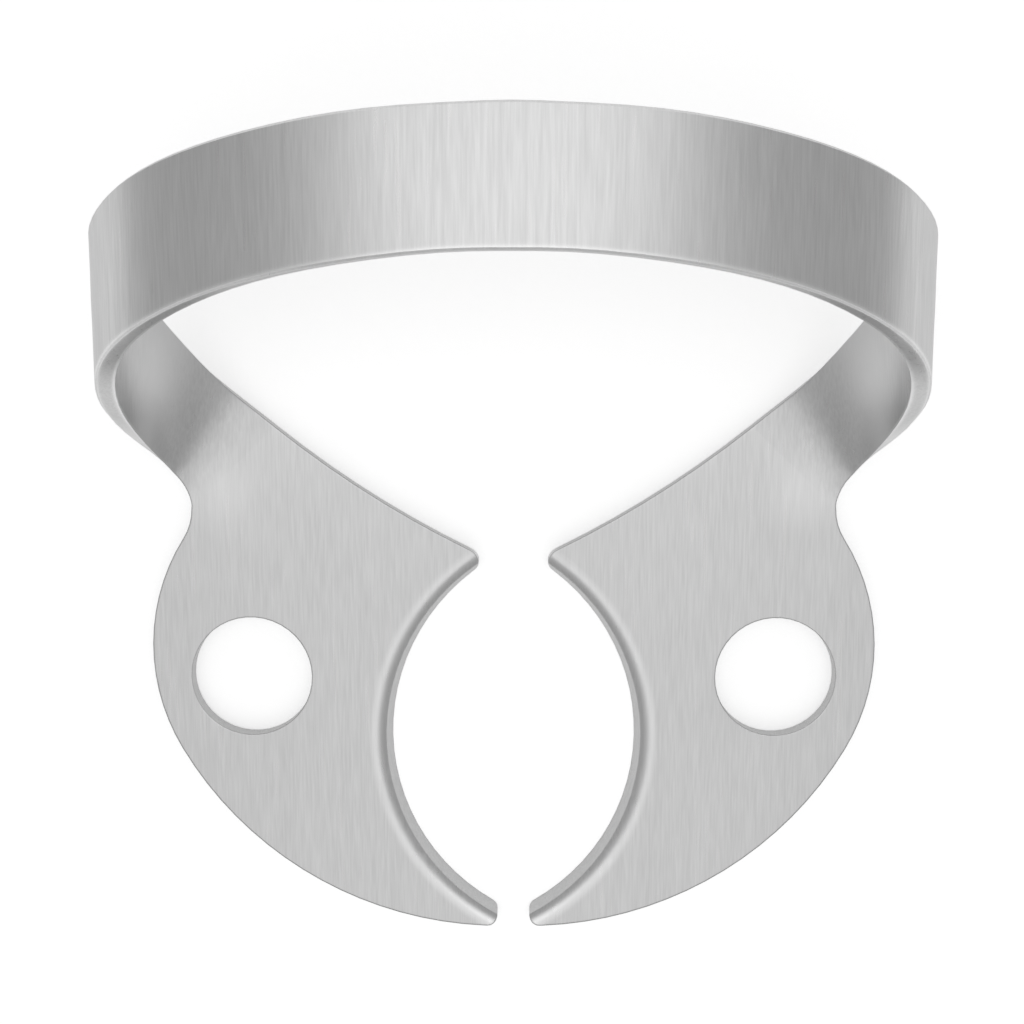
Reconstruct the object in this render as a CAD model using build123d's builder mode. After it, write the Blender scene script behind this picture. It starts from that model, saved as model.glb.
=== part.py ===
"""Wingless rubber dam clamp, stamped from one sheet of spring steel and bent to shape.

Millimetres, +Z up. The clamp rests on the rolled tooth edges of its jaws, with the jaws lying flat,
the bow behind them at +Y, and the gap for the tooth on the centre line between the jaws.
Plan positions are measured from the line through the two forceps holes, on the jaws' upper face.
The right-hand side is drawn, and the left-hand side mirrors it.
"""

import os
from math import cos, radians, sin, tan

from build123d import *

# Sheet, with its cut edges broken on the face that is outside on the bow and below on the jaws
sheet = 0.5
edge_break = 0.06

# Bow: an elliptical arch that leans back, widest at its sides
bow_width = 21.46
bow_side_z = 3.60
bow_rise = 4.80
side_front_y = 8.13
side_rear_y = 12.03
top_front_y = 11.79
top_rear_y = 15.02

# Neck, a little way up the bend: how far in from the sides of the bow, and which way each edge runs
neck_front_inset = 0.87
neck_front_y = 5.89
neck_front_rise = 0.28
neck_front_heading = 50.7
neck_front_slope = 20
neck_rear_inset = 2.39
neck_rear_y = 8.40
neck_rear_rise = 0.36
neck_rear_heading = 44.5
neck_rear_slope = 26

# Bend line where the neck leaves the flat jaw, from the notch across to the rear edge
waist_inset = 1.23
notch_y = 4.94
notch_radius = 1.60
notch_turn = 33
bend_rear_inset = 3.67
bend_rear_y = 7.29
bend_rear_heading = 39

# How strongly the edges of the strip hold their direction beside the bend line, the neck and the bow
bend_front_hold = 0.28
bend_rear_hold = 0.58
neck_front_hold = 1.07
neck_rear_hold = 1.89
side_front_hold = 1.39
side_rear_hold = 1.19

# Outer edge of the jaw, where the front arc leaves the shoulder, and the forceps hole beside it
shoulder_radius = 6.04
front_start = -29.3
hole_radius = 1.75
hole_margin = 1.11

# Tooth edge of the jaw, an arc that is rolled down to a steep lip, and the two prongs it ends in
tooth_radius = 6.10
tooth_x = -2.52
tooth_y = -1.84
roll_radius = 0.68
roll_turn = 40
lip_width = 0.15
lip_drop = 0.50
front_prong_angle = -70.2
front_prong_round = 0.29
rear_prong_angle = 59.4
rear_prong_round = 0.42


def heading(angle, slope=0):
    """Unit vector along a plan angle that climbs at a slope, both in degrees."""
    level = cos(radians(slope))
    return Vector(level * cos(radians(angle)), level * sin(radians(angle)), sin(radians(slope)))


# Outline points of the jaw
bow_half = (bow_width - sheet) / 2
notch_centre = Vector(bow_half - waist_inset + notch_radius, notch_y)
shoulder_centre = notch_centre - heading(notch_turn) * (shoulder_radius + notch_radius)
shoulder_foot = shoulder_centre + heading(front_start) * shoulder_radius
hole_x = shoulder_centre.X + shoulder_radius - hole_margin - hole_radius
tooth_centre = Vector(tooth_x, tooth_y)
front_prong = tooth_centre + heading(front_prong_angle) * tooth_radius
rear_prong = tooth_centre + heading(rear_prong_angle) * tooth_radius
bend_rear = Vector(bow_half - bend_rear_inset, bend_rear_y)
front_arc = Edge.make_tangent_arc(shoulder_foot, heading(front_start - 90), front_prong)

# Frame: the origin is on the floor, under the middle of the clamp
hole_line = -(front_arc.arc_center.Y - front_arc.radius + top_rear_y) / 2
lip_depth = roll_radius * (1 - cos(radians(roll_turn))) + lip_drop
jaw_top = Plane((0, hole_line, lip_depth))

# Jaw: the rolled section turned about the tooth, then cut to the outline
roll_centre = tooth_radius + lip_width + roll_radius * sin(radians(roll_turn))
far_edge = roll_centre + bow_width
tooth_origin = jaw_top.from_local_coords(tooth_centre)
with BuildPart() as jaw:
    with BuildSketch(Plane(tooth_origin, x_dir=(1, 0, 0), z_dir=(0, -1, 0))):
        with BuildLine():
            roll = CenterArc((roll_centre, -roll_radius), roll_radius, 90, roll_turn)
            tuck = CenterArc((roll_centre, -roll_radius), roll_radius - sheet, 90, roll_turn)
            heel_x = (tuck @ 1).X - ((tuck @ 1).Y + lip_depth) / tan(radians(roll_turn))
            Polyline(roll @ 1, (tooth_radius, -lip_depth), (heel_x, -lip_depth), tuck @ 1)
            Polyline(tuck @ 0, (far_edge, -sheet), (far_edge, 0), roll @ 0)
        make_face()
    revolve(axis=Axis(tooth_origin, (0, 0, 1)))
    with BuildSketch(jaw_top):
        with BuildLine():
            add(front_arc)
            CenterArc(shoulder_centre, shoulder_radius, front_start, notch_turn - front_start)
            notch = CenterArc(notch_centre, notch_radius, notch_turn + 180, -notch_turn)
            bend = Line(notch @ 1, bend_rear)
            rear = TangentArc(bend_rear, rear_prong, tangent=-heading(bend_rear_heading))
            CenterArc(tooth_centre, tooth_radius, rear_prong_angle, front_prong_angle - rear_prong_angle)
        make_face()
        fillet(vertices().sort_by_distance(front_prong)[0], front_prong_round)
        fillet(vertices().sort_by_distance(rear_prong)[0], rear_prong_round)
        with Locations((hole_x, 0)):
            Circle(hole_radius, mode=Mode.SUBTRACT)
    extrude(amount=-lip_depth, mode=Mode.INTERSECT)
    rims = (front_arc.radius, shoulder_radius, notch_radius, rear.radius)
    underside = lip_depth - sheet
    under_edges = edges().filter_by(GeomType.CIRCLE).filter_by_position(Axis.Z, underside, underside)
    fillet(under_edges.filter_by(lambda e: any(abs(e.radius - r) < 1e-6 for r in rims)), edge_break)

# Neck: each edge of the strip runs from the bend line to the neck, then up to the side of the bow
middle = Vector(0, 0, -sheet / 2)
front_points = (
    notch @ 1 + middle,
    Vector(bow_half - neck_front_inset, neck_front_y, neck_front_rise) + middle,
    Vector(bow_half, side_front_y, bow_side_z),
)
rear_points = (
    bend_rear + middle,
    Vector(bow_half - neck_rear_inset, neck_rear_y, neck_rear_rise) + middle,
    Vector(bow_half, side_rear_y, bow_side_z),
)
front_sweep = top_front_y - side_front_y
rear_sweep = top_rear_y - side_rear_y
front_runs = (
    heading(90),
    heading(neck_front_heading, neck_front_slope),
    Vector(0, front_sweep, bow_rise).normalized(),
)
rear_runs = (
    heading(bend_rear_heading),
    heading(neck_rear_heading, neck_rear_slope),
    Vector(0, rear_sweep, bow_rise).normalized(),
)


def span(points, runs, first, leave, arrive):
    """Cubic curve from one point of an edge to the next that leaves and arrives along its runs."""
    start, end = points[first], points[first + 1]
    return Edge.make_bezier(start, start + runs[first] * leave, end - runs[first + 1] * arrive, end)


front_bend = span(front_points, front_runs, 0, bend_front_hold, bend_front_hold)
rear_bend = span(rear_points, rear_runs, 0, bend_rear_hold, bend_rear_hold)
front_wall = span(front_points, front_runs, 1, neck_front_hold, side_front_hold)
rear_wall = span(rear_points, rear_runs, 1, neck_rear_hold, side_rear_hold)

# Stations along the strip: its front and rear edge and the way it runs there.
# The first lies close to the bend line, where the strip is still flat.
stations = []
for front_edge, rear_edge, places in (
    (front_bend, rear_bend, (0.02, 0.2, 0.4, 0.6, 0.8)),
    (front_wall, rear_wall, (0, 1 / 7, 2 / 7, 3 / 7, 4 / 7, 5 / 7, 6 / 7)),
):
    for u in places:
        stations.append((front_edge @ u, rear_edge @ u, front_edge % u + rear_edge % u))
returning = [
    (Vector(-f.X, f.Y, f.Z), Vector(-r.X, r.Y, r.Z), Vector(run.X, -run.Y, -run.Z))
    for f, r, run in reversed(stations)
]
for turn in range(0, 181, 15):
    out, up = cos(radians(turn)), sin(radians(turn))
    crest = Vector(bow_half * out, 0, bow_side_z + bow_rise * up)
    front_edge = crest + Vector(0, side_front_y + front_sweep * up)
    rear_edge = crest + Vector(0, side_rear_y + rear_sweep * up)
    run = Vector(-bow_half * up, (front_sweep + rear_sweep) / 2 * out, bow_rise * out)
    stations.append((front_edge, rear_edge, run))
stations += returning

# Cross-sections of the strip, between the end faces of the two jaws
bend_face = jaw.faces().sort_by_distance(jaw_top.from_local_coords(bend @ 0.5 + middle))[0]
sections = [bend_face]
for f, r, run in stations:
    across = (r - f).normalized()
    along = run - across * run.dot(across)
    centre = jaw_top.from_local_coords((f + r) / 2)
    with BuildSketch(Plane(centre, x_dir=across, z_dir=along)) as section:
        Rectangle((r - f).length, sheet)
        chamfer(vertices().group_by(Axis.Y)[0], edge_break)
    sections.append(section.sketch)
sections.append(bend_face.mirror(Plane.YZ))

with BuildPart() as clamp:
    loft(sections)
    add(jaw.part)
    mirror(jaw.part, about=Plane.YZ)

os.makedirs("parts", exist_ok=True)
clamp.part.label = "clamp"
export_step(clamp.part, "parts/clamp.step")
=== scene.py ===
import math

import bpy
from mathutils import Matrix, Vector

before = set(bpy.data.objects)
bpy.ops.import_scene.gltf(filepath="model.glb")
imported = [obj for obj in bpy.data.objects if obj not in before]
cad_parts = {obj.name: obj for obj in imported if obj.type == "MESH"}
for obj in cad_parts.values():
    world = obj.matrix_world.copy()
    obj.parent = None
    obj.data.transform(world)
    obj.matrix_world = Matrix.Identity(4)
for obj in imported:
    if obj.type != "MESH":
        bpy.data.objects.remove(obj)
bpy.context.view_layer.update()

mm = 0.001

# Brushed finish: lines per metre across and along the brushing, their grey, roughness and depth
fine_lines = (18000, 900)
broad_lines = (7000, 250)
line_contrast = (0.30, 0.70)
line_grey = (0.615, 0.68)
line_roughness = (0.33, 0.27)
line_relief = 0.05
line_depth = 0.005 * mm
brush_anisotropy = 0.6

# Painted highlights: their grey, and how far the painted highlight reaches from the bow's edges
painted_highlight_grey = 0.88
rim_highlight_reach = 0.2 * mm
rim_turn = (0.999, 0.95)
edge_samples = 8

# Heights between which the edges of the jaws turn into those of the bow, and the jaws' rounded edge
bow_start = (0.9 * mm, 2.5 * mm)
jaw_edge_round = 0.07 * mm

# Front half of the bow, ahead of a plane that leans back as the bow does
bow_lean = 0.693
front_half_start = (-3.8 * mm, -3.0 * mm)

# Rolled tooth edge of the right-hand jaw: its axis, and the radii between which the ridge's painted
# highlight lies
tooth_axis = (-2.52 * mm, -5.545 * mm, 0)
ridge_radii = (6.29 * mm, 6.79 * mm)
ridge_crown = 0.4
ridge_highlight = 0.75

# Necks: the heights of the bend, paler there by a painted sheen, and the painted highlight at the
# waist where the bend starts
bend_heights = (1.2 * mm, 3.8 * mm)
bend_crown = 0.45
bend_sheen = 0.9
bend_roughness = 0.15
waist_spot = (8.4 * mm, 1.75 * mm, 0)
waist_reach = (0.1 * mm, 1.6 * mm)
waist_highlight = 0.32

# White floor, and what the steel mirrors of it, dimmed near the clamp as painted shade and brighter
# further off
floor_size = 8
floor_grey = 0.9
floor_glow = 0.5
mirror_reach = (10 * mm, 45 * mm)
mirror_glow = (0.24, 0.50)

# Studio light, and the camera above the clamp
studio_grey = 0.44
softbox_width = 0.246
camera_tilt = math.radians(7.43)
camera_yaw = math.radians(-0.386)
camera_offset = (-0.0383 * mm, 4.7983 * mm, 41.4468 * mm)
hole_line = Vector((0, -3.705 * mm, 0.659 * mm))


# Node helpers

nodes_in_row = 8
node_step = (220, 300)
first_node = (-2000, 600)


def grey(level):
    return (level, level, level, 1)


def new_material(name):
    material = bpy.data.materials.new(name)
    material.use_nodes = True
    return material, material.node_tree, material.node_tree.nodes["Principled BSDF"]


def add_node(tree, kind, **settings):
    """New node, set out in rows to the left of the shader."""
    row, column = divmod(len(tree.nodes), nodes_in_row)
    node = tree.nodes.new(kind)
    node.location = (first_node[0] + column * node_step[0], first_node[1] - row * node_step[1])
    for name, value in settings.items():
        setattr(node, name, value)
    return node


def feed(tree, socket, source):
    """Link a socket to an output, or set it to a plain value."""
    if isinstance(source, bpy.types.NodeSocket):
        tree.links.new(source, socket)
    else:
        socket.default_value = source


def number(tree, operation, *sources):
    node = add_node(tree, "ShaderNodeMath", operation=operation)
    for socket, source in zip(node.inputs, sources):
        feed(tree, socket, source)
    return node.outputs["Value"]


def vector(tree, operation, *sources, result="Vector"):
    node = add_node(tree, "ShaderNodeVectorMath", operation=operation)
    for socket, source in zip(node.inputs, sources):
        feed(tree, socket, source)
    return node.outputs[result]


def map_range(tree, source, reach, values=(0, 1), **settings):
    node = add_node(tree, "ShaderNodeMapRange", **settings)
    for name, value in zip(("From Min", "From Max", "To Min", "To Max"), (*reach, *values)):
        node.inputs[name].default_value = value
    feed(tree, node.inputs["Value"], source)
    return node.outputs["Result"]


def mix(tree, data_type, factor, first, second):
    node = add_node(tree, "ShaderNodeMix", data_type=data_type)
    for name, source in (("Factor", factor), ("A", first), ("B", second)):
        feed(tree, node.inputs[name], source)
    return node.outputs["Result"]


def ramp(tree, source, stops, interpolation="LINEAR"):
    """Grey ramp through stops of position and level, the outer two first."""
    node = add_node(tree, "ShaderNodeValToRGB")
    node.color_ramp.interpolation = interpolation
    for element, (position, level) in zip(node.color_ramp.elements, stops):
        element.position = position
        element.color = grey(level)
    for position, level in stops[2:]:
        node.color_ramp.elements.new(position).color = grey(level)
    feed(tree, node.inputs["Fac"], source)
    return node.outputs["Color"]


def band(tree, source, reach, crown, strength):
    """Mask that swells from nothing to its crown and back between two distances."""
    swell = map_range(tree, source, reach)
    return ramp(tree, swell, ((0, 0), (1, 0), (crown, strength)), "EASE")


def brush_lines(tree, place, spacing, detail):
    """Noise stretched into lines along Y."""
    across, along = spacing
    stretch = add_node(tree, "ShaderNodeMapping")
    stretch.inputs["Scale"].default_value = (across, along, across)
    noise = add_node(tree, "ShaderNodeTexNoise")
    noise.inputs["Scale"].default_value = 1.0
    noise.inputs["Detail"].default_value = detail
    noise.inputs["Roughness"].default_value = 0.6
    feed(tree, stretch.inputs["Vector"], place)
    feed(tree, noise.inputs["Vector"], stretch.outputs["Vector"])
    return noise.outputs["Fac"]


def edge_normal(tree, radius):
    """Normal that is rounded within a radius of each cut edge."""
    node = add_node(tree, "ShaderNodeBevel", samples=edge_samples)
    node.inputs["Radius"].default_value = radius
    return node.outputs["Normal"]


# Brushed spring steel: fine straight lines along Y on every face, with painted highlights in places

def brushed_steel():
    material, tree, shader = new_material("clamp_steel")
    place = add_node(tree, "ShaderNodeTexCoord").outputs["Object"]
    normal = add_node(tree, "ShaderNodeNewGeometry").outputs["Normal"]
    axes = add_node(tree, "ShaderNodeSeparateXYZ")
    feed(tree, axes.inputs["Vector"], place)
    height = axes.outputs["Z"]

    # The two jaws are mirrored, so places on them are measured from the middle
    plan = add_node(tree, "ShaderNodeCombineXYZ")
    feed(tree, plan.inputs["X"], number(tree, "ABSOLUTE", axes.outputs["X"]))
    feed(tree, plan.inputs["Y"], axes.outputs["Y"])
    plan = plan.outputs["Vector"]

    # Lines
    fine = brush_lines(tree, place, fine_lines, detail=1.0)
    broad = brush_lines(tree, place, broad_lines, detail=2.0)
    shade = ramp(tree, fine, tuple(zip(line_contrast, line_grey)))
    roughness = map_range(tree, broad, line_contrast, line_roughness)

    # Cut edges: a painted highlight along the front of the bow, rounded on the jaws
    on_bow = map_range(tree, height, bow_start)
    # Painted highlight: the base colour is lightened where the rounded edge normal turns from the
    # face
    turned = vector(tree, "DOT_PRODUCT", edge_normal(tree, rim_highlight_reach), normal, result="Value")
    rim = map_range(tree, turned, rim_turn)
    ahead = vector(tree, "DOT_PRODUCT", place, (0, -1, bow_lean), result="Value")
    front_half = map_range(tree, ahead, front_half_start)
    front_rim = number(tree, "MULTIPLY", number(tree, "MULTIPLY", rim, front_half), on_bow)
    facing = mix(tree, "VECTOR", on_bow, edge_normal(tree, jaw_edge_round), normal)

    # Ridge of the rolled tooth edge, a ring about the tooth's axis, lit by a painted highlight
    from_tooth = vector(tree, "DISTANCE", plan, tooth_axis, result="Value")
    ridge = band(tree, from_tooth, ridge_radii, ridge_crown, ridge_highlight)

    # Bends of the necks: more matt where forming has stretched the sheet, and paler by a painted
    # sheen that lifts their shade
    bend = band(tree, height, bend_heights, bend_crown, bend_sheen)
    roughness = number(tree, "MULTIPLY_ADD", bend, bend_roughness, roughness)

    # Waist beside the notch, where the sheet starts to bend, lit by a painted highlight
    from_waist = vector(tree, "DISTANCE", plan, waist_spot, result="Value")
    waist = map_range(
        tree, from_waist, waist_reach, (waist_highlight, 0), interpolation_type="SMOOTHSTEP"
    )

    # Painted highlights and sheen of the rim, ridge, bends and waist, all lightening the base
    # colour
    painted_highlight = front_rim
    for mask in (ridge, bend, waist):
        painted_highlight = number(tree, "MAXIMUM", painted_highlight, mask)

    bump = add_node(tree, "ShaderNodeBump")
    bump.inputs["Strength"].default_value = line_relief
    bump.inputs["Distance"].default_value = line_depth
    feed(tree, bump.inputs["Height"], broad)
    feed(tree, bump.inputs["Normal"], facing)

    # The lines scatter light across themselves, so the tangent lies square to Y in each face.
    # A small step along X keeps it defined on the faces that look along Y.
    square = vector(tree, "CROSS_PRODUCT", normal, (0, 1, 0))
    tangent = vector(tree, "ADD", square, (0.01, 0, 0))

    shader.inputs["Metallic"].default_value = 1.0
    shader.inputs["Anisotropic"].default_value = brush_anisotropy
    feed(tree, shader.inputs["Base Color"], mix(tree, "RGBA", painted_highlight, shade, grey(painted_highlight_grey)))
    feed(tree, shader.inputs["Roughness"], roughness)
    feed(tree, shader.inputs["Normal"], bump.outputs["Normal"])
    feed(tree, shader.inputs["Tangent"], tangent)
    return material


steel = brushed_steel()
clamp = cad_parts["clamp"]
for material_slot in clamp.material_slots:
    material_slot.material = steel


# Floor, white to the camera, and with a softer glow in what the steel mirrors of it, dimmer near
# the clamp as painted shade

def white_floor():
    material, tree, shader = new_material("floor_white")
    rays = add_node(tree, "ShaderNodeLightPath").outputs
    place = add_node(tree, "ShaderNodeTexCoord").outputs["Object"]
    distance = vector(tree, "LENGTH", place, result="Value")
    # Painted shade: the mirrored glow is dimmed near the clamp
    glow = map_range(tree, distance, mirror_reach, mirror_glow)
    mirrored = number(tree, "MAXIMUM", rays["Is Glossy Ray"], rays["Is Transmission Ray"])
    mirrored = number(tree, "MULTIPLY", mirrored, glow)
    seen = number(tree, "MULTIPLY_ADD", rays["Is Camera Ray"], floor_glow, mirrored)
    shader.inputs["Base Color"].default_value = grey(floor_grey)
    shader.inputs["Roughness"].default_value = 1.0
    shader.inputs["Emission Color"].default_value = grey(1)
    feed(tree, shader.inputs["Emission Strength"], seen)
    return material


bpy.ops.object.select_all(action="DESELECT")
bpy.ops.mesh.primitive_plane_add(size=floor_size, location=(0, 0, 0))
floor = bpy.context.active_object
floor.name = "floor"
floor.data.materials.append(white_floor())


# Light

def softbox(name, place, size_x, size_y, radiance):
    lamp = bpy.data.lights.new(name, "AREA")
    lamp.shape = "RECTANGLE"
    lamp.size = size_x
    lamp.size_y = size_y
    lamp.energy = radiance * math.pi * size_x * size_y
    holder = bpy.data.objects.new(name, lamp)
    holder.location = place
    bpy.context.scene.collection.objects.link(holder)


softbox("softbox_wide", (0, -0.054, 0.25), softbox_width, 0.30, 0.50)
softbox("softbox_overhead", (0, 0.0542, 0.251), softbox_width, 0.1246, 0.305)

world = bpy.data.worlds.new("studio")
bpy.context.scene.world = world
world.use_nodes = True
background = world.node_tree.nodes["Background"]
background.inputs["Color"].default_value = grey(studio_grey)
background.inputs["Strength"].default_value = 1.0

# Camera, set off from the middle of the line through the forceps holes
right = Vector((math.cos(camera_yaw), 0, math.sin(camera_yaw)))
up = Vector((
    math.sin(camera_yaw) * math.sin(camera_tilt),
    math.cos(camera_tilt),
    -math.cos(camera_yaw) * math.sin(camera_tilt),
))
back = right.cross(up)
turn = Matrix((right, up, back)).transposed()
spot = hole_line + turn @ Vector(camera_offset)
lens = bpy.data.cameras.new("camera")
lens.lens = 50
lens.sensor_width = 36
lens.clip_start = 0.001
lens.clip_end = 10
camera = bpy.data.objects.new("camera", lens)
camera.matrix_world = Matrix.Translation(spot) @ turn.to_4x4()
bpy.context.scene.collection.objects.link(camera)
bpy.context.scene.camera = camera
bpy.context.scene.view_settings.view_transform = "Standard"
